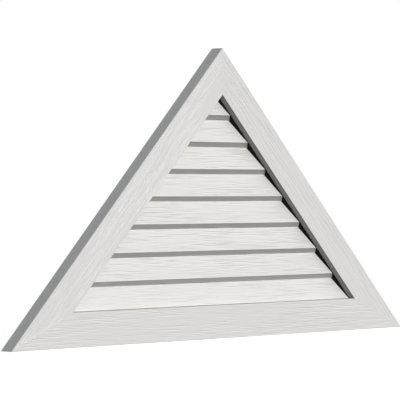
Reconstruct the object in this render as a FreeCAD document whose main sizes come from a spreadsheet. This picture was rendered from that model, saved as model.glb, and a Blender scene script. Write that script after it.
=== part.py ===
"""Triangular gable vent: mitred rebated boards, sloping louver slats on side stringers, insect screen.

Millimetres. +X runs along the base, +Z up and the front faces -Y. The origin is the middle of the
underside, half way through the depth of the boards. Depths below are counted from the front face.
"""
import FreeCAD, Part
import os

import Sketcher
from FreeCAD import Placement, Rotation, Vector

doc = FreeCAD.newDocument("gable_vent")
sheet = doc.addObject("Spreadsheet::Sheet", "sizes")

# Driving dimensions
SIZES = {
    "base_width": 1560,          # outer triangle, along the base
    "roof_rise": 12,             # rise of the sides for each roof_run along the base
    "roof_run": 12,
    "board_width": 88.9,         # face of the frame boards
    "board_depth": 39.5,
    "lip_depth": 19.05,          # full-width front of a board, before the rebate
    "rebate_width": 20,          # rear inner edge cut away for the stringers
    "stringer_proud": 2.2,       # stringers past the boards' inner edge, into the opening
    "back_setback": 1.5,         # rear of the slats and stringers in front of the boards' rear face
    "cleat_height": 6,
    "bevel_drop": 13.9,          # slat's underside, in height
    "slat_blunt": 1.2,           # thickness of a slat's top edge
    "slat_pitch": 72.9,
    "slat_lap": 2.24,            # slat's top edge above the underside of the next slat
    "air_slot": 2.9,             # depth of the gap from a slat's face to the next slat's underside
    "sill_gap": 1.2,             # lowest slat's front edge above the bottom rail
    "smallest_slat": 30,         # least height of the top slat's face
    "screen_thick": 1,
    "screen_inset": 3,           # screen's edge inside the rebate
    "mesh_pitch": 55,
    "mesh_bar": 6,
    "mesh_border": 12,
    "biscuit_length": 56,
    "biscuit_width": 23,
    "biscuit_thick": 4,
    "screw_radius": 2,
    "head_radius": 4,
    "head_depth": 3,
    "lip_bite": 12,              # length of a stringer screw inside the lip
    "slat_bite": 20,             # length of a slat screw inside the slat
    "slat_screw_rise": 20,       # slat screw above the slat's front edge
    "slat_screw_depth": 29.5,
    "lip_screw_pitch": 145.8,
    "lip_screw_start": 125,
}
for row, (alias, value) in enumerate(SIZES.items(), 1):
    sheet.set(f"A{row}", alias)
    sheet.set(f"B{row}", str(value))
    sheet.setAlias(f"B{row}", alias)
doc.recompute()

# Expressions for the triangle. A line offset inwards by q keeps the slope of the sides.
HALF = "(sizes.base_width / 2)"
HEIGHT = "(sizes.base_width / 2 * sizes.roof_rise / sizes.roof_run)"
ACROSS = "sqrt(1 + (sizes.roof_run / sizes.roof_rise)^2)"
UPRIGHT = "sqrt(1 + (sizes.roof_rise / sizes.roof_run)^2)"
FACE = "sizes.board_width"
FLOOR = "(sizes.board_width - sizes.rebate_width)"
STRIP = "(sizes.rebate_width + sizes.stringer_proud)"
SEAT = f"({FLOOR} + {STRIP})"
FRONT = "(-sizes.board_depth / 2)"
LIP = "(sizes.lip_depth - sizes.board_depth / 2)"
REAR = "(sizes.board_depth / 2 - sizes.back_setback)"

# Expressions for the slats: depth of the face for each unit of height, and depth of the underside
SLAT_REACH = "(sizes.board_depth - sizes.back_setback - sizes.slat_blunt - sizes.lip_depth)"
SLAT_CLEAR = "(sizes.slat_pitch - sizes.bevel_drop)"
SLAT_SLOPE = f"({SLAT_REACH} / ({SLAT_CLEAR} + sizes.slat_lap))"
BEVEL_RUN = f"({SLAT_SLOPE} * {SLAT_CLEAR} - sizes.air_slot)"


def value_of(expression):
    """Number that an expression of the sheet's cells gives now."""
    return float(sheet.evalExpression(expression.replace("sizes.", "")))


def half_at(offset, level):
    """Half width, at a height, of the triangle offset inwards."""
    return f"({HALF} * (1 - {level} / {HEIGHT}) - {offset} * {ACROSS})"


def apex_of(offset):
    """Height of the top of the triangle offset inwards."""
    return f"({HEIGHT} - {offset} * {UPRIGHT})"


def minus(expression):
    return f"(-{expression})"


def checked(thing):
    """Recompute, and stop at a feature that failed."""
    doc.recompute()
    if "Invalid" in thing.State or "Error" in thing.State or thing.Shape.isNull():
        raise RuntimeError(f"{thing.Label} did not build")
    return thing


def polygon(body, role, name, points, offset=None):
    """Closed sketch in a body's origin plane, each corner held by two expressions."""
    plane = [item for item in body.Origin.OriginFeatures if item.Role == role][0]
    sketch = body.newObject("Sketcher::SketchObject", name)
    sketch.AttachmentSupport = [(plane, "")]
    sketch.MapMode = "FlatFace"
    if offset:
        sketch.setExpression("AttachmentOffset.Base.z", offset)
    corners = [Vector(value_of(across), value_of(up), 0) for across, up in points]
    count = len(points)
    for index in range(count):
        sketch.addGeometry(Part.LineSegment(corners[index], corners[(index + 1) % count]), False)
    for index in range(count):
        sketch.addConstraint(Sketcher.Constraint("Coincident", index, 2, (index + 1) % count, 1))
    for index, (across, up) in enumerate(points):
        for kind, expression, axis in (("DistanceX", across, -2), ("DistanceY", up, -1)):
            if expression == "0":
                sketch.addConstraint(Sketcher.Constraint("PointOnObject", index, 1, axis))
                continue
            start = corners[index].x if kind == "DistanceX" else corners[index].y
            place = sketch.addConstraint(Sketcher.Constraint(kind, -1, 1, index, 1, start))
            sketch.setExpression(f"Constraints[{place}]", expression)
    return sketch


def slab(name, points, near, far):
    """Body with an outline in the XZ plane, from one depth to a farther one."""
    body = doc.addObject("PartDesign::Body", name)
    sketch = polygon(body, "XZ_Plane", name + "_outline", points, minus(near))
    pad = body.newObject("PartDesign::Pad", name + "_pad")
    pad.Profile = sketch
    pad.Reversed = True
    pad.setExpression("Length", f"{far} - {near}")
    checked(body)
    return body


def joined(kind, name, things):
    """Part::Compound, Part::MultiFuse or Part::MultiCommon of several objects."""
    result = doc.addObject(kind, name)
    if kind == "Part::Compound":
        result.Links = things
    else:
        result.Shapes = things
    return checked(result)


def cut(name, base, tool):
    result = doc.addObject("Part::Cut", name)
    result.Base = base
    result.Tool = tool
    return checked(result)


def mirrored(name, source):
    """Copy on the other side of the middle plane."""
    result = doc.addObject("Part::Mirroring", name)
    result.Source = source
    result.Normal = Vector(1, 0, 0)
    return checked(result)


def put(thing, across, depth, up):
    """Bind an object's position."""
    for axis, expression in zip("xyz", (across, depth, up)):
        thing.setExpression("Placement.Base." + axis, expression)


# Frame boards, with the rear inner edge rebated. The cut runs out past the rear face.
def rebated(name, outline, rebate):
    body = slab(name, outline, FRONT, minus(FRONT))
    full = body.Shape.Volume
    sketch = polygon(body, "XZ_Plane", name + "_rebate", rebate, minus(LIP))
    pocket = body.newObject("PartDesign::Pocket", name + "_pocket")
    pocket.Profile = sketch
    pocket.setExpression("Length", "sizes.board_depth - sizes.lip_depth + sizes.back_setback")
    checked(body)
    if not body.Shape.Volume < full:
        raise RuntimeError(f"{name} rebate cut nothing")
    return body


corner_outer = (HALF, "0")
corner_floor = (half_at(FLOOR, FLOOR), FLOOR)
corner_inner = (half_at(FACE, FACE), FACE)
right_rake = rebated(
    "right_rake_blank",
    [corner_outer, ("0", HEIGHT), ("0", apex_of(FACE)), corner_inner],
    [("0", apex_of(FLOOR)), ("0", apex_of(FACE)), corner_inner, corner_floor],
)
rail = rebated(
    "bottom_rail_blank",
    [(minus(HALF), "0"), corner_outer, corner_inner, (minus(corner_inner[0]), FACE)],
    [(minus(corner_floor[0]), FLOOR), corner_floor, corner_inner, (minus(corner_inner[0]), FACE)],
)

# Stringers in the rebates of the sides, and the cleat in the rebate of the rail
right_strip = slab(
    "right_stringer_blank",
    [("0", apex_of(FLOOR)), ("0", apex_of(SEAT)), (half_at(SEAT, FLOOR), FLOOR), corner_floor],
    LIP,
    REAR,
)
cleat_top = f"({FLOOR} + sizes.cleat_height)"
cleat = slab(
    "sill_cleat",
    [
        (minus(half_at(SEAT, FLOOR)), FLOOR),
        (half_at(SEAT, FLOOR), FLOOR),
        (half_at(SEAT, cleat_top), cleat_top),
        (minus(half_at(SEAT, cleat_top)), cleat_top),
    ],
    LIP,
    REAR,
)

# Slats: one bar section, trimmed to the triangle between the stringers
opening = slab(
    "slat_trimmer",
    [(minus(half_at(SEAT, "0")), "0"), (half_at(SEAT, "0"), "0"), ("0", apex_of(SEAT))],
    FRONT,
    minus(FRONT),
)
open_height = value_of(f"{apex_of(SEAT)} - {FACE} - sizes.sill_gap - sizes.smallest_slat")
slat_count = int(open_height / value_of("sizes.slat_pitch")) + 1
slat_levels = [f"({FACE} + sizes.sill_gap + {index} * sizes.slat_pitch)" for index in range(slat_count)]


def slat_bar(name, arris):
    """Bar with a sloping face, a bevelled underside and a flat rear."""
    heel = f"({LIP} + {BEVEL_RUN})"
    heel_level = f"({arris} - sizes.bevel_drop)"
    tip = f"({REAR} - sizes.slat_blunt)"
    tip_level = f"({arris} + {SLAT_REACH} / {SLAT_SLOPE})"
    points = [
        (LIP, arris),
        (heel, heel_level),
        (REAR, f"({heel_level} + ({REAR} - {heel}) / {SLAT_SLOPE})"),
        (REAR, tip_level),
        (tip, tip_level),
    ]
    body = doc.addObject("PartDesign::Body", name)
    sketch = polygon(body, "YZ_Plane", name + "_section", points)
    pad = body.newObject("PartDesign::Pad", name + "_pad")
    pad.Profile = sketch
    pad.Midplane = True
    pad.setExpression("Length", "sizes.base_width")
    return checked(body)


# Screws: a shank with a sunk head, driven along their own +Z, both with flats in place of a round
SCREW_FLATS = 12


def rod(name, radius, length):
    result = doc.addObject("Part::Prism", name)
    result.Polygon = SCREW_FLATS
    result.setExpression("Circumradius", radius)
    result.setExpression("Height", length)
    return result


def screw(name, length, rotation):
    shank = rod(name + "_shank", "sizes.screw_radius", length)
    head = rod(name + "_head", "sizes.head_radius", "sizes.head_depth")
    result = joined("Part::MultiFuse", name, [shank, head])
    result.Placement = Placement(Vector(0, 0, 0), rotation)
    return result


middle_strip = f"({FLOOR} + sizes.rebate_width / 2)"
lip_length = f"({REAR} - {LIP} + sizes.lip_bite)"
lip_room = value_of(f"{apex_of(FACE)} - sizes.lip_screw_start")
lip_count = int(lip_room / value_of("sizes.lip_screw_pitch")) + 1
right_lip_screws = []
for index in range(lip_count):
    level = f"(sizes.lip_screw_start + {index} * sizes.lip_screw_pitch)"
    item = screw(f"lip_screw_{index + 1}", lip_length, Rotation(Vector(1, 0, 0), 90))
    put(item, half_at(middle_strip, level), REAR, level)
    right_lip_screws.append(item)
right_lip_screws = joined("Part::Compound", "right_lip_screws", right_lip_screws)
stringer_screws = joined(
    "Part::Compound",
    "stringer_screws",
    [right_lip_screws, mirrored("left_lip_screws", right_lip_screws)],
)

side_angle = value_of("atan(sizes.roof_rise / sizes.roof_run)")
inwards = Rotation(Vector(0, 1, 0), side_angle - 180)
right_slat_screws = []
for index, arris in enumerate(slat_levels):
    level = f"({arris} + sizes.slat_screw_rise + {STRIP} / {UPRIGHT})"
    item = screw(f"slat_screw_{index + 1}", f"{STRIP} + sizes.slat_bite", inwards)
    put(item, half_at(FLOOR, level), f"({FRONT} + sizes.slat_screw_depth)", level)
    right_slat_screws.append(item)
right_slat_screws = joined("Part::Compound", "right_slat_screws", right_slat_screws)
slat_screws = joined(
    "Part::Compound",
    "slat_screws",
    [right_slat_screws, mirrored("left_slat_screws", right_slat_screws)],
)

# Biscuits across the three mitres, in the full-depth part of the boards
biscuit_end = "(sizes.biscuit_length / 2)"
biscuit_side = "(sizes.biscuit_width / 2)"
biscuit_near = f"(({LIP} - {FRONT}) / 2 - sizes.biscuit_thick / 2)"
biscuit_points = [
    (minus(biscuit_end), f"({biscuit_side} / 3)"),
    (minus(biscuit_end), f"(-{biscuit_side} / 3)"),
    (f"(-{biscuit_end} / 2)", minus(biscuit_side)),
    (f"({biscuit_end} / 2)", minus(biscuit_side)),
    (biscuit_end, f"(-{biscuit_side} / 3)"),
    (biscuit_end, f"({biscuit_side} / 3)"),
    (f"({biscuit_end} / 2)", biscuit_side),
    (f"(-{biscuit_end} / 2)", biscuit_side),
]


def biscuit(name, angle, across, up):
    body = slab(name, biscuit_points, biscuit_near, f"({biscuit_near} + sizes.biscuit_thick)")
    body.Placement = Placement(Vector(0, 0, 0), Rotation(Vector(0, 1, 0), angle))
    put(body, across, "0", up)
    return checked(body)


half_floor = f"({FLOOR} / 2)"
apex_biscuit = biscuit("apex_biscuit", 0, "0", apex_of(half_floor))
right_biscuit = biscuit(
    "right_biscuit",
    side_angle / 2 + 90,
    half_at(half_floor, half_floor),
    half_floor,
)
left_biscuit = mirrored("left_biscuit", right_biscuit)

# Screen over the rear of the slats and strips, with rows of open meshes
screen_line = f"({FLOOR} + sizes.screen_inset)"
screen_corner = half_at(screen_line, screen_line)
screen = slab(
    "insect_screen",
    [(minus(screen_corner), screen_line), (screen_corner, screen_line), ("0", apex_of(screen_line))],
    REAR,
    f"({REAR} + sizes.screen_thick)",
)
mesh_gap = "(sizes.mesh_pitch - sizes.mesh_bar)"
row = 0
while True:
    low = f"({FACE} + sizes.mesh_border + {row} * sizes.mesh_pitch)"
    high = f"({low} + {mesh_gap})"
    room = value_of(f"2 * ({half_at(FACE, high)} - sizes.mesh_border) + sizes.mesh_bar")
    gaps = int(room / value_of("sizes.mesh_pitch"))
    if gaps < 1:
        break
    left = f"((sizes.mesh_bar - {gaps} * sizes.mesh_pitch) / 2)"
    right = f"({left} + {mesh_gap})"
    sketch = polygon(
        screen,
        "XZ_Plane",
        f"mesh_row_{row + 1}",
        [(left, low), (right, low), (right, high), (left, high)],
    )
    pocket = screen.newObject("PartDesign::Pocket", f"mesh_gap_{row + 1}")
    pocket.Profile = sketch
    pocket.Type = "ThroughAll"
    checked(screen)
    if gaps > 1:
        pattern = screen.newObject("PartDesign::LinearPattern", f"mesh_gaps_{row + 1}")
        pattern.Originals = [pocket]
        pattern.Direction = (sketch, ["H_Axis"])
        pattern.setExpression("Length", f"{gaps - 1} * sizes.mesh_pitch")
        pattern.Occurrences = gaps
        screen.Tip = pattern
        checked(screen)
    row += 1

# Finished pieces, with the seats of the screws and biscuits cut in them
right_fixings = joined("Part::Compound", "right_fixings", [right_lip_screws, right_slat_screws])
right_seats = joined("Part::Compound", "right_seats", [right_lip_screws, apex_biscuit, right_biscuit])
rail_seats = joined("Part::Compound", "rail_seats", [left_biscuit, right_biscuit])
right_rake_board = cut("right_rake_board", right_rake, right_seats)
right_stringer = cut("right_stringer", right_strip, right_fixings)
pieces = [
    right_rake_board,
    mirrored("left_rake_board", right_rake_board),
    cut("bottom_rail", rail, rail_seats),
    right_stringer,
    mirrored("left_stringer", right_stringer),
    cleat,
    screen,
    stringer_screws,
    slat_screws,
    apex_biscuit,
    right_biscuit,
    left_biscuit,
]
for index, arris in enumerate(slat_levels):
    bar = slat_bar(f"slat_bar_{index + 1}", arris)
    trimmed = joined("Part::MultiCommon", f"slat_trimmed_{index + 1}", [bar, opening])
    pieces.append(cut(f"slat_{index + 1}", trimmed, slat_screws))

# Export
doc.recompute()
for thing in doc.Objects:
    if "Invalid" in thing.State or "Error" in thing.State:
        raise RuntimeError(f"{thing.Label} is not valid")
os.makedirs("parts", exist_ok=True)
for piece in pieces:
    if piece.Shape.isNull() or not piece.Shape.isValid():
        raise RuntimeError(f"{piece.Label} has no valid shape")
    piece.Shape.exportStep(f"parts/{piece.Label}.step")
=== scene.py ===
"""Finish for a triangular gable vent: embossed boards and slats, wire screen, staples, light and camera."""
import math
from typing import Callable, NamedTuple

import bmesh
import bpy
from bpy.props import FloatProperty, FloatVectorProperty, IntProperty, PointerProperty
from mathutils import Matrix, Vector, noise


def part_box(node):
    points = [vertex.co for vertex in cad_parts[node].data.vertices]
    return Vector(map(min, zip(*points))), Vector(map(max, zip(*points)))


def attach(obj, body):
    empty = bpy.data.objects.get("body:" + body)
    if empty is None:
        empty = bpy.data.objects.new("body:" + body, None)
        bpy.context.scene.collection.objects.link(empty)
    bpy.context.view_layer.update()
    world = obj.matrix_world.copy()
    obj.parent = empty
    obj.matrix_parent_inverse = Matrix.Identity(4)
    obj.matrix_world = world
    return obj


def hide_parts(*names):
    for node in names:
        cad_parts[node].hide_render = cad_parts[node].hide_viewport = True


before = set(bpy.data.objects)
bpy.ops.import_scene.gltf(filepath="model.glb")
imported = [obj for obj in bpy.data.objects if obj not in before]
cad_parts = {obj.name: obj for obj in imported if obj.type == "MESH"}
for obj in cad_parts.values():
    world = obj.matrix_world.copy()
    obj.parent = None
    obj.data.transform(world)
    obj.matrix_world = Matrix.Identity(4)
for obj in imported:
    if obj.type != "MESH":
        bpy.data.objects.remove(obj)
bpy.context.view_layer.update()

bl_info = {
    "name": "Gable vent finish",
    "version": (1, 0, 0),
    "blender": (4, 5, 0),
    "location": "3D View > Sidebar > Vent",
    "description": "Dresses a louvered gable vent with embossed boards, a wire screen and a studio stage",
    "category": "Object",
}

BODY = "root"


# Sizes read from the frame

def corners_of(node):
    """Lowest and highest corner of a node, as vectors."""
    low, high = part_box(node)
    return Vector(low), Vector(high)


RAIL_LOW, RAIL_HIGH = corners_of("bottom_rail")
STRINGER_LOW, STRINGER_HIGH = corners_of("right_stringer")
SCREEN_LOW, SCREEN_HIGH = corners_of("insect_screen")

HALF = RAIL_HIGH.x                             # half of the base
HEIGHT = corners_of("right_rake_board")[1].z   # up to the apex
SLOPE_LENGTH = math.hypot(HALF, HEIGHT)        # of a rake
RAKE_ANGLE = math.atan2(HEIGHT, HALF)
FACE = RAIL_HIGH.z                             # width of a frame board
REBATE = STRINGER_LOW.z                        # from a board's outer edge to its rebate
FRONT = RAIL_LOW.y                             # depth of the boards' front
LIP = STRINGER_LOW.y                           # depth of the rear of their front lip
REAR = STRINGER_HIGH.y                         # depth of the rear of the stringers and slats
BACK = RAIL_HIGH.y                             # depth of the boards' back
SCREEN_THICKNESS = SCREEN_HIGH.y - SCREEN_LOW.y
SLATS = sorted(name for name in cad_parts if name.removeprefix("slat_").isdigit())


def half_at(inset, level):
    """Half width, at a height, of the vent's triangle set in by a distance."""
    return HALF * (1 - level / HEIGHT) - inset * SLOPE_LENGTH / HEIGHT


def height_at(inset, aside):
    """Height, at a distance from the middle, of the vent's triangle set in by a distance."""
    return HEIGHT * (1 - (abs(aside) + inset * SLOPE_LENGTH / HEIGHT) / HALF)


def apex_of(inset):
    """Height of the top of the vent's triangle set in by a distance."""
    return HEIGHT - inset * SLOPE_LENGTH / HALF


SLAT_LOW, SLAT_HIGH = corners_of(SLATS[0])
SEAT = (half_at(0, SLAT_LOW.z) - SLAT_HIGH.x) * HEIGHT / SLOPE_LENGTH   # inset of the slats' ends


# Settings

class VentBoardSettings(bpy.types.PropertyGroup):
    """Frame boards and slats."""

    edge_radius: FloatProperty(
        name="Edge radius", description="Easing of the boards' long edges",
        default=0.0012, min=0.0001, unit="LENGTH")
    edge_cuts: IntProperty(
        name="Edge cuts", description="Segments of an eased edge", default=3, min=1)
    column_step: FloatProperty(
        name="Column step", description="Width of a mesh column across the grain",
        default=0.0009, min=0.0005, unit="LENGTH")
    row_step: FloatProperty(
        name="Row step", description="Length of a mesh row along the grain",
        default=0.0075, min=0.001, unit="LENGTH")
    emboss_depth: FloatProperty(
        name="Emboss depth", description="Deepest groove of the frame boards' grain",
        default=0.0006, min=0.0, unit="LENGTH")
    slat_emboss: FloatProperty(
        name="Slat emboss", description="Deepest groove of the slats' grain",
        default=0.0011, min=0.0, unit="LENGTH")
    paint: FloatVectorProperty(
        name="Paint", description="White of the frame boards",
        default=(0.751, 0.741, 0.729), subtype="COLOR", min=0.0, max=1.0)
    slat_paint: FloatVectorProperty(
        name="Slat paint", description="White of the slats",
        default=(0.708, 0.689, 0.672), subtype="COLOR", min=0.0, max=1.0)
    # Lighter and bluer than the face paint, a painted cool fill light on the boards' outer edges.
    outer_edge_fill_paint: FloatVectorProperty(
        name="Edge paint", description="White of the frame boards' outer edges",
        default=(0.805, 0.82, 0.832), subtype="COLOR", min=0.0, max=1.0)
    # Dark grey, a painted shade on the rake boards' edges at the opening.
    rake_edge_shade: FloatVectorProperty(
        name="Reveal paint", description="Sawn edges of the rake boards round the opening",
        default=(0.33, 0.33, 0.325), subtype="COLOR", min=0.0, max=1.0)
    # Mid grey, a painted shade: the shade line between the lowest slat and the rail, put on the rail's top
    # edge.
    sill_shade_paint: FloatVectorProperty(
        name="Sill paint", description="Top edge of the bottom rail, where dust settles",
        default=(0.46, 0.455, 0.44), subtype="COLOR", min=0.0, max=1.0)


class VentScreenSettings(bpy.types.PropertyGroup):
    """Insect screen, what holds it and the black strips beside it."""

    wire_pitch: FloatProperty(
        name="Wire pitch", description="Distance between wires",
        default=0.0032, min=0.001, unit="LENGTH")
    wire_width: FloatProperty(
        name="Wire width", description="Thickness of a wire",
        default=0.00042, min=0.0001, unit="LENGTH")
    hem_width: FloatProperty(
        name="Hem width", description="Width of the screen's bound edge",
        default=0.011, min=0.002, unit="LENGTH")
    staple_pitch: FloatProperty(
        name="Staple pitch", description="Distance between staples",
        default=0.085, min=0.02, unit="LENGTH")
    staple_crown: FloatProperty(
        name="Staple crown", description="Length of a staple's crown",
        default=0.0105, min=0.002, unit="LENGTH")
    staple_wire: FloatProperty(
        name="Staple wire", description="Width of a staple's wire",
        default=0.0012, min=0.0003, unit="LENGTH")
    wire_colour: FloatVectorProperty(
        name="Wire colour", description="Coating of the wires, and the tape of the hem",
        default=(0.035, 0.036, 0.038), subtype="COLOR", min=0.0, max=1.0)
    # Near black, a painted shade: the stringers and cleat look as dark as the shaded cavity behind the
    # slats' ends.
    cavity_shade_colour: FloatVectorProperty(
        name="Strip colour", description="Stringers and cleat",
        default=(0.0025, 0.0025, 0.0027), subtype="COLOR", min=0.0, max=1.0)


class VentStageSettings(bpy.types.PropertyGroup):
    """Camera, lamps and floor."""

    camera_place: FloatVectorProperty(
        name="Camera place", description="Position of the camera",
        default=(-5.1131, -4.5870, 0.4005), subtype="TRANSLATION", unit="LENGTH")
    camera_turn: FloatProperty(
        name="Camera turn", description="Turn of the camera about the vertical",
        default=math.radians(-47.72), subtype="ANGLE")
    camera_fall: FloatProperty(
        name="Camera fall", description="Angle of the camera below the horizon",
        default=math.radians(0.24), subtype="ANGLE")
    camera_roll: FloatProperty(
        name="Camera roll", description="Roll of the camera about its own axis",
        default=0.0, subtype="ANGLE")
    lens: FloatProperty(
        name="Lens", description="Focal length in millimetres", default=229.6, min=1.0, unit="CAMERA")
    key_direction: FloatVectorProperty(
        name="Key direction", description="From the vent towards the main lamp and the soft lamp",
        default=(0.33, -0.765, 0.56), subtype="DIRECTION")
    key_strength: FloatProperty(
        name="Key strength", description="Irradiance of the main lamp, which casts no shadow",
        default=2.71, min=0.0)
    soft_strength: FloatProperty(
        name="Soft strength", description="Irradiance of the lamp that casts soft shadows",
        default=0.82, min=0.0)
    soft_angle: FloatProperty(
        name="Soft angle", description="Width of the soft lamp as the vent sees it",
        default=math.radians(80), subtype="ANGLE")
    back_strength: FloatProperty(
        name="Back strength", description="Irradiance of the lamp behind the vent",
        default=2.4, min=0.0)
    back_direction: FloatVectorProperty(
        name="Back direction", description="From the vent towards the lamp behind it",
        default=(-0.045, 0.9985, 0.028), subtype="DIRECTION")
    back_angle: FloatProperty(
        name="Back angle", description="Width of the lamp behind the vent as the vent sees it",
        default=math.radians(2), subtype="ANGLE")
    ambient: FloatProperty(
        name="Ambient", description="Strength of the even light from all round",
        default=0.035, min=0.0)
    floor_size: FloatProperty(
        name="Floor size", description="Side of the floor", default=60.0, unit="LENGTH")
    floor_colour: FloatVectorProperty(
        name="Floor colour", description="Floor as it throws light on the vent",
        default=(0.05, 0.05, 0.049), subtype="COLOR", min=0.0, max=1.0)
    floor_matt: FloatVectorProperty(
        name="Floor matt", description="Floor as the camera sees it, which takes the vent's shadow",
        default=(0.95, 0.95, 0.95), subtype="COLOR", min=0.0, max=1.0)
    floor_glow: FloatProperty(
        name="Floor glow", description="Glow that lifts the floor to white where the lamps reach it",
        default=0.355, min=0.0, max=1.0)


class VentSettings(bpy.types.PropertyGroup):
    """All settings of the vent."""

    boards: PointerProperty(type=VentBoardSettings, name="Boards", description="Boards and slats")
    screen: PointerProperty(type=VentScreenSettings, name="Screen", description="Screen and staples")
    stage: PointerProperty(type=VentStageSettings, name="Stage", description="Camera and light")


# Shader nodes

class Wire:
    """A socket of a finish, with Python's operators as Math nodes."""

    def __init__(self, finish, socket):
        self.finish = finish
        self.socket = socket

    def maths(self, operation, first, second):
        return self.finish.node("ShaderNodeMath", {"operation": operation}, {0: first, 1: second})

    def __add__(self, other):
        return self.maths("ADD", self, other)

    def __radd__(self, other):
        return self.maths("ADD", other, self)

    def __sub__(self, other):
        return self.maths("SUBTRACT", self, other)

    def __rsub__(self, other):
        return self.maths("SUBTRACT", other, self)

    def __mul__(self, other):
        return self.maths("MULTIPLY", self, other)

    def __rmul__(self, other):
        return self.maths("MULTIPLY", other, self)

    def at_most(self, limit):
        return self.maths("MINIMUM", self, limit)


MIX_FACTOR, MIX_FIRST, MIX_SECOND, MIX_RESULT = 0, 6, 7, 2   # sockets of a Mix node set to colours


class Finish:
    """The nodes of a material or of the world."""

    def __init__(self, owner):
        owner.use_nodes = True
        self.owner = owner
        self.tree = owner.node_tree
        self.tree.nodes.clear()

    def node(self, kind, settings=None, sockets=None, output=0):
        """Add a node: its settings first, then the values or links of its sockets."""
        made = self.tree.nodes.new(kind)
        for key, setting in (settings or {}).items():
            setattr(made, key, setting)
        for key, given in (sockets or {}).items():
            if isinstance(given, Wire):
                self.tree.links.new(given.socket, made.inputs[key])
            else:
                made.inputs[key].default_value = given
        return Wire(self, made.outputs[output]) if made.outputs else None

    def surface(self, shader, kind="ShaderNodeOutputMaterial"):
        """Send a shader to the output."""
        self.node(kind, sockets={"Surface": shader})
        return self.owner

    def place(self, stretch, turn=(0, 0, 0)):
        """Object coordinates, turned and then stretched."""
        raw = self.node("ShaderNodeTexCoord", output="Object")
        turned = self.node(
            "ShaderNodeVectorRotate", {"rotation_type": "EULER_XYZ"}, {"Vector": raw, "Rotation": turn})
        return self.node("ShaderNodeVectorMath", {"operation": "MULTIPLY"}, {0: turned, 1: stretch})

    def noise(self, place, detail, rough=0.5):
        """Noise from 0 to 1 over a place, with no scale of its own."""
        return self.node(
            "ShaderNodeTexNoise",
            sockets={"Vector": place, "Scale": 1.0, "Detail": detail, "Roughness": rough}, output="Fac")

    def ramp(self, factor, low, high):
        """Smooth step from 0 at low to 1 at high."""
        return self.node(
            "ShaderNodeMapRange", {"interpolation_type": "SMOOTHSTEP"},
            {"Value": factor, "From Min": low, "From Max": high})

    def blend(self, factor, first, second):
        """Mix of two colours."""
        return self.node(
            "ShaderNodeMix", {"data_type": "RGBA"},
            {MIX_FACTOR: factor, MIX_FIRST: first, MIX_SECOND: second}, output=MIX_RESULT)

    def facing(self, direction):
        """1 where the surface faces along a direction, down to -1 where it faces away."""
        normal = self.node("ShaderNodeNewGeometry", output="Normal")
        return self.node(
            "ShaderNodeVectorMath", {"operation": "DOT_PRODUCT"}, {0: normal, 1: direction}, output="Value")

    def bump(self, height, distance, strength):
        return self.node(
            "ShaderNodeBump", sockets={"Height": height, "Distance": distance, "Strength": strength})

    def principled(self, **sockets):
        """Principled shader, with underscores for the spaces in its sockets' names."""
        named = {key.replace("_", " "): given for key, given in sockets.items()}
        return self.node("ShaderNodeBsdfPrincipled", sockets=named)

    def diffuse(self, colour):
        return self.node("ShaderNodeBsdfDiffuse", sockets={"Color": colour})


def shade(colour, factor=1.0):
    """A colour made lighter or darker, with full alpha."""
    return tuple(min(1.0, part * factor) for part in colour[:3]) + (1.0,)


def new_finish(name):
    """The empty nodes of a new material."""
    return Finish(bpy.data.materials.new(name))


# Finishes

GROOVE_RELIEF = -0.7     # shares of the fine relief of the white boards
PORE_RELIEF = 0.25
STREAK_RELIEF = 0.3
EDGE_STARTS = 0.6        # facing at which an edge's painted fill light and painted shade start
EDGE_FULL = 0.9          # and at which they cover


def embossed_white(name, paint, angle=0.0, inward=None, reveal=None):
    """White cellular plastic with a wood grain pressed in along the X axis, turned by an angle about Y.

    A frame board's sawn edges have paints of their own: the outer one a lighter, bluer paint, a painted cool
    fill light, and the edge at the opening, which faces inward along a direction, a darker paint, a painted
    shade.
    """
    finish = new_finish(name)
    turn = (0, angle, 0)
    streaks = finish.noise(finish.place((9.0, 150.0, 210.0), turn), detail=3.0, rough=0.6)
    pores = finish.noise(finish.place((40.0, 600.0, 900.0), turn), detail=2.0)
    patches = finish.noise(finish.place((3.0, 14.0, 14.0), turn), detail=1.0)
    groove = finish.ramp(streaks, low=0.5, high=0.28) * finish.ramp(patches, low=0.42, high=0.66)
    # The grooves take a paint a tenth darker, a painted shade in the pressed grain.
    colour = finish.blend(groove, shade(paint), shade(paint, 0.9))
    if inward:
        painted_fill_light = bpy.context.scene.vent.boards.outer_edge_fill_paint
        towards = finish.facing(inward)
        # The outer edges take a lighter, bluer paint, a painted cool fill light.
        colour = finish.blend(finish.ramp(towards, -EDGE_STARTS, -EDGE_FULL), colour, shade(painted_fill_light))
        # The edge at the opening takes a darker paint, a painted shade.
        colour = finish.blend(finish.ramp(towards, EDGE_STARTS, EDGE_FULL), colour, shade(reveal))
    relief = groove * GROOVE_RELIEF + pores * PORE_RELIEF + streaks * STREAK_RELIEF
    return finish.surface(finish.principled(
        Base_Color=colour,
        Roughness=0.56 + groove * 0.16 + pores * 0.06,
        Normal=finish.bump(relief, distance=0.0006, strength=0.55),
    ))


def black_strip(name, colour):
    """Extruded black plastic with faint drawing lines."""
    finish = new_finish(name)
    lines = finish.noise(finish.place((30.0, 900.0, 900.0)), detail=2.0)
    cloud = finish.noise(finish.place((22.0, 22.0, 22.0)), detail=3.0)
    return finish.surface(finish.principled(
        Base_Color=finish.blend(cloud, shade(colour, 0.75), shade(colour, 1.3)),
        Roughness=0.62 + lines * 0.16,
        Specular_IOR_Level=0.08,
        Normal=finish.bump(lines, distance=0.0002, strength=0.4),
    ))


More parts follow.
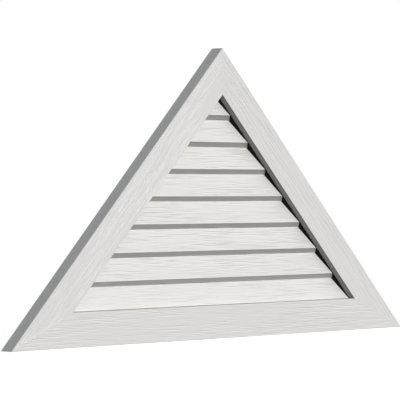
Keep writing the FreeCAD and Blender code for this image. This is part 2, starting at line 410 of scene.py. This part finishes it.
def coated_wire(name, colour):
    """Dark coating over aluminium wire, worn here and there."""
    finish = new_finish(name)
    cloud = finish.noise(finish.place((60.0, 60.0, 60.0)), detail=4.0)
    wear = finish.ramp(cloud, low=0.55, high=0.8)
    return finish.surface(finish.principled(
        Base_Color=finish.blend(wear, shade(colour), shade(colour, 2.4)),
        Metallic=wear * 0.4,
        Roughness=0.52 - wear * 0.16,
    ))


ZINC_DARK = (0.46, 0.47, 0.48)
ZINC_PALE = (0.66, 0.66, 0.64)


def plated_steel(name):
    """Bright zinc plate with a faint spangle."""
    finish = new_finish(name)
    spangle = finish.noise(finish.place((420.0, 420.0, 420.0)), detail=2.0)
    brushed = finish.noise(finish.place((2500.0, 2500.0, 300.0)), detail=1.0)
    return finish.surface(finish.principled(
        Base_Color=finish.blend(spangle, shade(ZINC_DARK), shade(ZINC_PALE)),
        Metallic=1.0,
        Roughness=0.26 + spangle * 0.2,
        Normal=finish.bump(brushed, distance=0.00004, strength=0.4),
    ))


BEECH_DARK = (0.42, 0.27, 0.14)
BEECH_PALE = (0.63, 0.45, 0.27)


def pressed_beech(name):
    """Raw compressed beech with short flecks."""
    finish = new_finish(name)
    flecks = finish.noise(finish.place((260.0, 260.0, 900.0)), detail=3.0)
    return finish.surface(finish.principled(
        Base_Color=finish.blend(flecks, shade(BEECH_DARK), shade(BEECH_PALE)),
        Roughness=0.7 + flecks * 0.15,
        Normal=finish.bump(flecks, distance=0.0002, strength=0.5),
    ))


# Pieces

SHARP_ANGLE = math.radians(35)


def finished(name, mesh):
    """Object from a bmesh, smooth but for its sharp edges."""
    data = bpy.data.meshes.new(name)
    mesh.to_mesh(data)
    mesh.free()
    data.polygons.foreach_set("use_smooth", [True] * len(data.polygons))
    data.set_sharp_from_angle(angle=SHARP_ANGLE)
    piece = bpy.data.objects.new(name, data)
    bpy.context.collection.objects.link(piece)
    return piece


def solid_piece(name, mesh):
    """Object from a closed bmesh, with its faces turned outwards."""
    bmesh.ops.recalc_face_normals(mesh, faces=mesh.faces)
    return finished(name, mesh)


def join(piece, material, node=None):
    """Give a piece its finish and let it ride with the vent, in the place of a node where one is named."""
    piece.data.materials.append(material)
    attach(piece, BODY)
    if node:
        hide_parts(node)


def dress(node, material):
    """Give a node that stays visible its finish."""
    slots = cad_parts[node].data.materials
    slots.clear()
    slots.append(material)


# Pressed grain

GRAIN_LENGTH = 0.070            # of a streak
GRAIN_WIDTH = 0.0043            # of a lane of streaks
GRAIN_WANDER = 0.0013           # sideways drift of the lanes
GRAIN_DRIFT = 0.19              # length over which they drift
PATCH_LENGTH = 0.19             # of a stretch with strong or faint grain
PATCH_WIDTH = 0.05
STREAK_RANGE = (-0.3, 0.4)      # noise at which a streak starts, and at which it is full
PATCH_RANGE = (-0.35, 0.3)      # noise of the faintest and of the strongest grain
FAINT_GRAIN = 0.5               # depth of the faintest grain, with 1 for the strongest
LANE_STEP = 7.31                # between lanes in the noise, so that they differ
STREAK_SEED = 5.3               # of the streaks' noise, above a board's own
PATCH_SEED = 2.7                # of the patches' noise, above a board's own


def smooth_step(amount, low, high):
    share = max(0.0, min(1.0, (amount - low) / (high - low)))
    return share * share * (3 - 2 * share)


def emboss(along, across, seed):
    """Depth of the pressed grain at a place on a board, from 0 at the face to 1 at the deepest."""
    drift = GRAIN_WANDER * noise.noise((along / GRAIN_DRIFT, across / PATCH_WIDTH, seed))
    lane = (across + drift) / GRAIN_WIDTH
    number = math.floor(lane)
    hollow = math.sin(math.pi * (lane - number)) ** 2
    streak_noise = noise.noise((along / GRAIN_LENGTH, LANE_STEP * number, seed + STREAK_SEED))
    patch_noise = noise.noise((along / PATCH_LENGTH, across / PATCH_WIDTH, seed + PATCH_SEED))
    streak = smooth_step(streak_noise, *STREAK_RANGE)
    patch = smooth_step(patch_noise, *PATCH_RANGE)
    return hollow * streak * (FAINT_GRAIN + (1 - FAINT_GRAIN) * patch)


# Boards swept from a section

class Corner(NamedTuple):
    """Corner of a section: its place, its rounding, and whether the edge that starts there has grain."""

    a: float
    b: float
    radius: float
    grained: bool


class Section(NamedTuple):
    """Outline of a board's section, and a hub in it that sees the whole outline."""

    outline: list
    hub: tuple


class Run(NamedTuple):
    """How a board runs: its two ends at a place in the section, and where a place on the board lies."""

    ends: Callable
    point_at: Callable


FADE_COLUMNS = 2         # over which the grain rises from an edge
LEAST_COLUMNS = 2        # on a grained edge
LEAST_ROWS = 4           # along a board
SAME_VERTEX = 1e-6       # vertices nearer than this are one
NO_LENGTH = 1e-7         # edges shorter than this are taken out


def eased_outline(corners, settings):
    """Closed outline with rounded corners and columns for the grain.

    Returns a list of (a, b, weight, inward): weight is 1 where the grain shows in full, and inward points
    from a grained edge into the section.
    """
    points = []
    for index, corner in enumerate(corners):
        following = corners[(index + 1) % len(corners)]
        here = Vector(corner[:2])
        there = Vector(following[:2])
        before = (Vector(corners[index - 1][:2]) - here).normalized()
        after = (there - here).normalized()
        for cut in range(settings.edge_cuts + 1):
            share = cut / settings.edge_cuts
            near = here + before * corner.radius * (1 - share) ** 2 + after * corner.radius * share ** 2
            points.append((near.x, near.y, 0.0, None))
        if corner.grained:
            start = here + after * corner.radius
            end = there - after * following.radius
            columns = max(LEAST_COLUMNS, round((end - start).length / settings.column_step))
            inward = Vector((-after.y, after.x))
            for column in range(1, columns):
                place = start.lerp(end, column / columns)
                weight = min(1.0, min(column, columns - column) / FADE_COLUMNS)
                points.append((place.x, place.y, weight, inward))
    return points


def sweep(name, section, run, row_step, depth, seed):
    """Carry a section along a board's run, press the grain in and close both ends by fans about the hub.

    The way across the grain is a + b. It hardly changes on the slats' bevel, which stays nearly plain.
    """
    reaches = [run.ends(a, b) for a, b, weight, inward in section.outline]
    steps = max(LEAST_ROWS, round(max(end - start for start, end in reaches) / row_step))
    mesh = bmesh.new()
    lines = []
    for (a, b, weight, inward), (start, end) in zip(section.outline, reaches):
        line = []
        for step in range(steps + 1):
            along = start + (end - start) * step / steps
            sunk_a = a
            sunk_b = b
            if inward is not None and 0 < step < steps:
                sink = depth * weight * emboss(along, a + b, seed)
                sunk_a += inward.x * sink
                sunk_b += inward.y * sink
            line.append(mesh.verts.new(run.point_at(along, sunk_a, sunk_b)))
        lines.append(line)
    neighbours = list(zip(lines, lines[1:] + lines[:1]))
    for line, beside in neighbours:
        for step in range(steps):
            mesh.faces.new((line[step], line[step + 1], beside[step + 1], beside[step]))
    for last in (0, -1):
        middle = mesh.verts.new(run.point_at(run.ends(*section.hub)[last], *section.hub))
        for line, beside in neighbours:
            mesh.faces.new((line[last], beside[last], middle))
    bmesh.ops.remove_doubles(mesh, verts=mesh.verts, dist=SAME_VERTEX)
    bmesh.ops.dissolve_degenerate(mesh, edges=mesh.edges, dist=NO_LENGTH)
    return solid_piece(name, mesh)


# Frame boards

LEFT, RIGHT = -1, 1      # sides of the vent, along X
SAWN_RADIUS = 0.0002     # of the boards' hidden rear corners


def board_section(settings):
    """Section across a frame board: distance in from the outer edge, and depth."""
    eased = settings.edge_radius
    corners = (
        Corner(0.0, FRONT, eased, True),
        Corner(FACE, FRONT, eased, False),
        Corner(FACE, LIP, SAWN_RADIUS, False),
        Corner(REBATE, LIP, SAWN_RADIUS, False),
        Corner(REBATE, BACK, SAWN_RADIUS, False),
        Corner(0.0, BACK, eased, False),
    )
    return Section(eased_outline(corners, settings), (REBATE / 2, (FRONT + LIP) / 2))


def rake_ends(across, depth):
    """Start at the base mitre and end at the apex mitre, along a rake."""
    return across * (SLOPE_LENGTH + HALF) / HEIGHT, SLOPE_LENGTH - across * HEIGHT / HALF


def rake_point(side):
    """Function for a place on the rake of one side."""
    def point_at(along, across, depth):
        x = HALF - (along * HALF + across * HEIGHT) / SLOPE_LENGTH
        z = (along * HEIGHT - across * HALF) / SLOPE_LENGTH
        return side * x, depth, z
    return point_at


def rail_ends(across, depth):
    """Ends at the two base mitres, along the rail."""
    half = half_at(across, across)
    return -half, half


def rail_point(along, across, depth):
    return along, depth, across


class BoardPlan(NamedTuple):
    """A frame board: the node that it stands for, how it runs, and its finish and grain."""

    node: str
    run: Run
    angle: float       # of the grain in the vent's plane
    inward: tuple      # direction from the outer edge to the opening
    reveal: tuple      # painted shade of the edge at the opening
    grain: float       # depth of the grain, as a share of the boards' emboss depth
    seed: float


def board_plans(settings):
    """The three boards. The left one's grain is pressed deeper than the others'."""
    aside = HEIGHT / SLOPE_LENGTH
    down = HALF / SLOPE_LENGTH
    return (
        BoardPlan(
            "left_rake_board", Run(rake_ends, rake_point(LEFT)), RAKE_ANGLE,
            inward=(aside, 0, -down), reveal=settings.rake_edge_shade, grain=2.6, seed=11.0),
        BoardPlan(
            "right_rake_board", Run(rake_ends, rake_point(RIGHT)), -RAKE_ANGLE,
            inward=(-aside, 0, -down), reveal=settings.rake_edge_shade, grain=1.0, seed=23.0),
        BoardPlan(
            "bottom_rail", Run(rail_ends, rail_point), 0.0,
            inward=(0, 0, 1), reveal=settings.sill_shade_paint, grain=1.0, seed=37.0),
    )


class VENT_OT_boards(bpy.types.Operator):
    """Model the three frame boards with eased edges and pressed grain"""

    bl_idname = "vent.boards"
    bl_label = "Frame boards"

    def execute(self, context):
        settings = context.scene.vent.boards
        section = board_section(settings)
        for plan in board_plans(settings):
            piece = sweep(
                "embossed_" + plan.node, section, plan.run, settings.row_step,
                plan.grain * settings.emboss_depth, plan.seed)
            white = embossed_white(
                "white_" + plan.node, settings.paint, plan.angle, plan.inward, plan.reveal)
            join(piece, white, plan.node)
        return {"FINISHED"}


# Slats

SLAT_EASING = 0.5        # radius of the slats' edges, as a share of the boards'
FIRST_SLAT_SEED = 51.0
SLAT_SEED_STEP = 7.0
SAME_PLACE = 1e-5        # within which vertices of a solid count as level


class SlatProfile(NamedTuple):
    """Corners of a slat's section, as depths and heights."""

    near: float        # depth of the front edge
    arris: float       # height of the front edge
    heel: float        # depth of the lowest edge
    low: float         # height of the lowest edge
    tip: float         # depth of the top of the face
    high: float        # height of the top of the face


def slat_profile(node):
    """A slat's profile, read from its solid."""
    places = [vertex.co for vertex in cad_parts[node].data.vertices]
    near = min(place.y for place in places)
    arris = min(place.z for place in places if place.y < near + SAME_PLACE)
    low = min(place.z for place in places)
    heel = min(place.y for place in places if place.z < low + SAME_PLACE)
    high = max(place.z for place in places)
    tip = min(place.y for place in places if place.z > high - SAME_PLACE)
    return SlatProfile(near, arris, heel, low, tip, high)


def slat_section(settings, node):
    """Section of a slat: the lowest slat's, raised to this one's front edge and cut at the opening's top."""
    lowest = slat_profile(SLATS[0])
    lean = (lowest.tip - lowest.near) / (lowest.high - lowest.arris)
    edge = slat_profile(node).arris
    rise = edge - lowest.arris
    crest = min(lowest.high + rise, apex_of(SEAT))
    crest_depth = lowest.near + lean * (crest - edge)
    rear_low = lowest.low + rise + (REAR - lowest.heel) / lean
    eased = SLAT_EASING * settings.edge_radius
    corners = (
        Corner(crest_depth, crest, eased, True),
        Corner(lowest.near, edge, eased, True),
        Corner(lowest.heel, lowest.low + rise, eased, False),
        Corner(REAR, rear_low, eased, True),
        Corner(REAR, crest, eased, False),
    )
    hub = sum((Vector(corner[:2]) for corner in corners), Vector((0, 0))) / len(corners)
    return Section(eased_outline(corners, settings), tuple(hub))


def slat_ends(depth, level):
    """Ends in the two stringers, which come together at the top of the opening."""
    half = max(0.0, half_at(SEAT, level))
    return -half, half


def slat_point(along, depth, level):
    return along, depth, level


class VENT_OT_slats(bpy.types.Operator):
    """Model the slats with eased edges and pressed grain"""

    bl_idname = "vent.slats"
    bl_label = "Slats"

    def execute(self, context):
        settings = context.scene.vent.boards
        run = Run(slat_ends, slat_point)
        white = embossed_white("white_slats", settings.slat_paint)
        for number, node in enumerate(SLATS):
            piece = sweep(
                "embossed_" + node, slat_section(settings, node), run, settings.row_step,
                settings.slat_emboss, FIRST_SLAT_SEED + SLAT_SEED_STEP * number)
            join(piece, white, node)
        return {"FINISHED"}


# Stringers and fixings

class VENT_OT_fixings(bpy.types.Operator):
    """Finish the stringers, the cleat, the screws and the biscuits"""

    bl_idname = "vent.fixings"
    bl_label = "Stringers and fixings"

    def execute(self, context):
        # Near-black paint on the stringers and cleat, a painted shade of the cavity behind the slats' ends.
        black = black_strip("black_strip", context.scene.vent.screen.cavity_shade_colour)
        for node in ("left_stringer", "right_stringer", "sill_cleat"):
            dress(node, black)
        steel = plated_steel("screw_steel")
        for node in ("stringer_screws", "slat_screws"):
            dress(node, steel)
        beech = pressed_beech("pressed_beech")
        for node in ("apex_biscuit", "left_biscuit", "right_biscuit"):
            dress(node, beech)
        return {"FINISHED"}


# Screen

BAR_CORNERS = ((-1, -1), (1, -1), (1, 1), (-1, 1))
WIRE_DEPTH = 0.3         # of the upright wires, as a share of the screen's thickness
HEM_FACES = (0.1, 0.9)   # front and rear of the hem, as shares of the screen's thickness


def add_bar(mesh, start, end, side, thick):
    """Four-sided bar between two points, side and thick being its half-size vectors."""
    rings = [
        [mesh.verts.new(place + a * side + b * thick) for a, b in BAR_CORNERS]
        for place in (start, end)
    ]
    for index in range(4):
        following = (index + 1) % 4
        mesh.faces.new((rings[0][index], rings[0][following], rings[1][following], rings[1][index]))
    mesh.faces.new(rings[0][::-1])
    mesh.faces.new(rings[1])


def middle_of_hem(settings):
    """Inset of the line along the middle of the hem."""
    return SCREEN_LOW.z + settings.hem_width / 2


def wire_mesh(settings):
    """Upright wires with level wires behind them, which all end in the hem."""
    mesh = bmesh.new()
    pitch = settings.wire_pitch
    half_wire = settings.wire_width / 2
    thick = Vector((0, half_wire, 0))
    inset = middle_of_hem(settings)
    depth = REAR + WIRE_DEPTH * SCREEN_THICKNESS
    count = int(half_at(inset, inset) / pitch)
    for index in range(-count, count + 1):
        x = index * pitch
        head = height_at(inset, x)
        if head > inset:
            add_bar(mesh, Vector((x, depth, inset)), Vector((x, depth, head)),
                    Vector((half_wire, 0, 0)), thick)
    depth += settings.wire_width
    for index in range(1, int((apex_of(inset) - inset) / pitch)):
        z = inset + index * pitch
        reach = half_at(inset, z)
        add_bar(mesh, Vector((-reach, depth, z)), Vector((reach, depth, z)),
                Vector((0, 0, half_wire)), thick)
    return mesh


def hem_mesh(settings):
    """Flat binding round the screen's edge."""
    mesh = bmesh.new()
    outer = SCREEN_LOW.z
    rings = []
    for share in HEM_FACES:
        depth = REAR + share * SCREEN_THICKNESS
        for inset in (outer, outer + settings.hem_width):
            half = half_at(inset, inset)
            places = ((-half, depth, inset), (half, depth, inset), (0, depth, apex_of(inset)))
            rings.append([mesh.verts.new(place) for place in places])
    near_out, near_in, far_out, far_in = rings
    sides = ((near_out, near_in), (near_in, far_in), (far_in, far_out), (far_out, near_out))
    for index in range(3):
        following = (index + 1) % 3
        for first, second in sides:
            mesh.faces.new((first[index], first[following], second[following], second[index]))
    return mesh


class VENT_OT_screen(bpy.types.Operator):
    """Model the wire screen with its bound edge"""

    bl_idname = "vent.screen"
    bl_label = "Insect screen"

    def execute(self, context):
        settings = context.scene.vent.screen
        wires = solid_piece("wire_screen", wire_mesh(settings))
        join(wires, coated_wire("coated_wire", settings.wire_colour), "insect_screen")
        hem = solid_piece("screen_hem", hem_mesh(settings))
        join(hem, black_strip("hem_tape", settings.wire_colour))
        return {"FINISHED"}


# Staples, with shares of half their wire's width

CROWN_RISE = 0.15        # of the crown's middle behind the screen
CROWN_THICK = 0.3        # half thickness of the crown
LEG_THICK = 0.6          # half thickness of a leg
LEG_REACH = 2            # length of a leg, in thicknesses of the screen


def add_staple(mesh, middle, along, settings):
    """Staple whose crown lies along a direction, with two legs through the screen."""
    half_wire = settings.staple_wire / 2
    side = Vector((-along.z, 0, along.x)) * half_wire
    reach = along * settings.staple_crown / 2
    leg = Vector((0, LEG_REACH * SCREEN_THICKNESS, 0))
    tips = (middle - reach, middle + reach)
    add_bar(mesh, *tips, side, Vector((0, CROWN_THICK * half_wire, 0)))
    for tip in tips:
        add_bar(mesh, tip, tip - leg, side, along * LEG_THICK * half_wire)


class VENT_OT_staples(bpy.types.Operator):
    """Set wire staples along the screen's bound edge"""

    bl_idname = "vent.staples"
    bl_label = "Screen staples"

    def execute(self, context):
        settings = context.scene.vent.screen
        mesh = bmesh.new()
        inset = middle_of_hem(settings)
        right = Vector((half_at(inset, inset), 0, inset))
        left = Vector((-right.x, 0, inset))
        apex = Vector((0, 0, apex_of(inset)))
        crown_depth = SCREEN_HIGH.y + CROWN_RISE * settings.staple_wire / 2
        for start, end in ((left, right), (right, apex), (apex, left)):
            run = end - start
            count = round(run.length / settings.staple_pitch)
            for index in range(count):
                middle = start + run * (index + 0.5) / count
                middle.y = crown_depth
                add_staple(mesh, middle, run.normalized(), settings)
        staples = solid_piece("screen_staples", mesh)
        join(staples, plated_steel("staple_steel"))
        return {"FINISHED"}


# Stage

WHITE = (1.0, 1.0, 1.0, 1.0)
SENSOR_WIDTH = 36.0      # of the camera, in millimetres
CAMERA_REACH = 200.0     # farthest distance that the camera shows


def seen(finish):
    """1 for rays that show the background, 0 for rays that only carry light."""
    camera = finish.node("ShaderNodeLightPath", output="Is Camera Ray")
    glossy = finish.node("ShaderNodeLightPath", output="Is Glossy Ray")
    through = finish.node("ShaderNodeLightPath", output="Is Transmission Ray")
    return (camera + glossy + through).at_most(1.0)


def studio_floor(settings):
    """Floor that looks nearly white, keeps the vent's shadow and throws little light on the vent."""
    mesh = bmesh.new()
    bmesh.ops.create_grid(mesh, x_segments=2, y_segments=2, size=settings.floor_size / 2)
    floor = finished("studio_floor", mesh)
    finish = new_finish("pale_floor")
    unseen = finish.diffuse(shade(settings.floor_colour))
    matt = finish.diffuse(shade(settings.floor_matt))
    glow = finish.node("ShaderNodeEmission", sockets={"Color": WHITE, "Strength": settings.floor_glow})
    shown = finish.node("ShaderNodeAddShader", sockets={0: matt, 1: glow})
    mixed = finish.node("ShaderNodeMixShader", sockets={0: seen(finish), 1: unseen, 2: shown})
    floor.data.materials.append(finish.surface(mixed))


def white_background(scene, settings):
    """World that looks white and gives the vent a little even light."""
    scene.world = bpy.data.worlds.new("white_background")
    finish = Finish(scene.world)
    strength = settings.ambient + seen(finish) * (1.0 - settings.ambient)
    light = finish.node("ShaderNodeBackground", sockets={"Color": WHITE, "Strength": strength})
    finish.surface(light, "ShaderNodeOutputWorld")


def add_lamp(name, direction, strength, angle=0.0, shadow=True):
    """Parallel light from a direction, softer with a wider angle."""
    light = bpy.data.lights.new(name, "SUN")
    light.energy = strength
    light.angle = angle
    light.use_shadow = shadow
    lamp = bpy.data.objects.new(name, light)
    bpy.context.collection.objects.link(lamp)
    lamp.rotation_euler = Vector(direction).to_track_quat("Z", "Y").to_euler()


def add_camera(scene, settings):
    """Camera at the photograph's viewpoint."""
    data = bpy.data.cameras.new("camera")
    data.lens = settings.lens
    data.sensor_width = SENSOR_WIDTH
    data.clip_end = CAMERA_REACH
    camera = bpy.data.objects.new("camera", data)
    bpy.context.collection.objects.link(camera)
    camera.location = settings.camera_place
    camera.rotation_mode = "XYZ"
    camera.rotation_euler = (
        math.pi / 2 - settings.camera_fall, settings.camera_roll, settings.camera_turn)
    scene.camera = camera


class VENT_OT_stage(bpy.types.Operator):
    """Set the floor, the background, the lamps and the camera"""

    bl_idname = "vent.stage"
    bl_label = "Stage"

    def execute(self, context):
        scene = context.scene
        settings = scene.vent.stage
        scene.view_settings.view_transform = "Standard"
        studio_floor(settings)
        white_background(scene, settings)
        add_lamp("key_lamp", settings.key_direction, settings.key_strength, shadow=False)
        add_lamp("soft_lamp", settings.key_direction, settings.soft_strength, settings.soft_angle)
        add_lamp("back_lamp", settings.back_direction, settings.back_strength, settings.back_angle)
        add_camera(scene, settings)
        return {"FINISHED"}


# Add-on

STEPS = (
    VENT_OT_boards,
    VENT_OT_slats,
    VENT_OT_fixings,
    VENT_OT_screen,
    VENT_OT_staples,
    VENT_OT_stage,
)


class VENT_PT_panel(bpy.types.Panel):
    """Steps that dress the vent"""

    bl_idname = "VENT_PT_panel"
    bl_label = "Gable vent"
    bl_space_type = "VIEW_3D"
    bl_region_type = "UI"
    bl_category = "Vent"

    def draw(self, context):
        for step in STEPS:
            self.layout.operator(step.bl_idname)


CLASSES = (VentBoardSettings, VentScreenSettings, VentStageSettings, VentSettings) + STEPS + (VENT_PT_panel,)


def register():
    for item in CLASSES:
        bpy.utils.register_class(item)
    bpy.types.Scene.vent = PointerProperty(type=VentSettings, name="Vent", description="Gable vent")


def unregister():
    del bpy.types.Scene.vent
    for item in reversed(CLASSES):
        bpy.utils.unregister_class(item)


def main():
    register()
    bpy.ops.vent.boards()
    bpy.ops.vent.slats()
    bpy.ops.vent.fixings()
    bpy.ops.vent.screen()
    bpy.ops.vent.staples()
    bpy.ops.vent.stage()


if __name__ == "__main__":
    main()
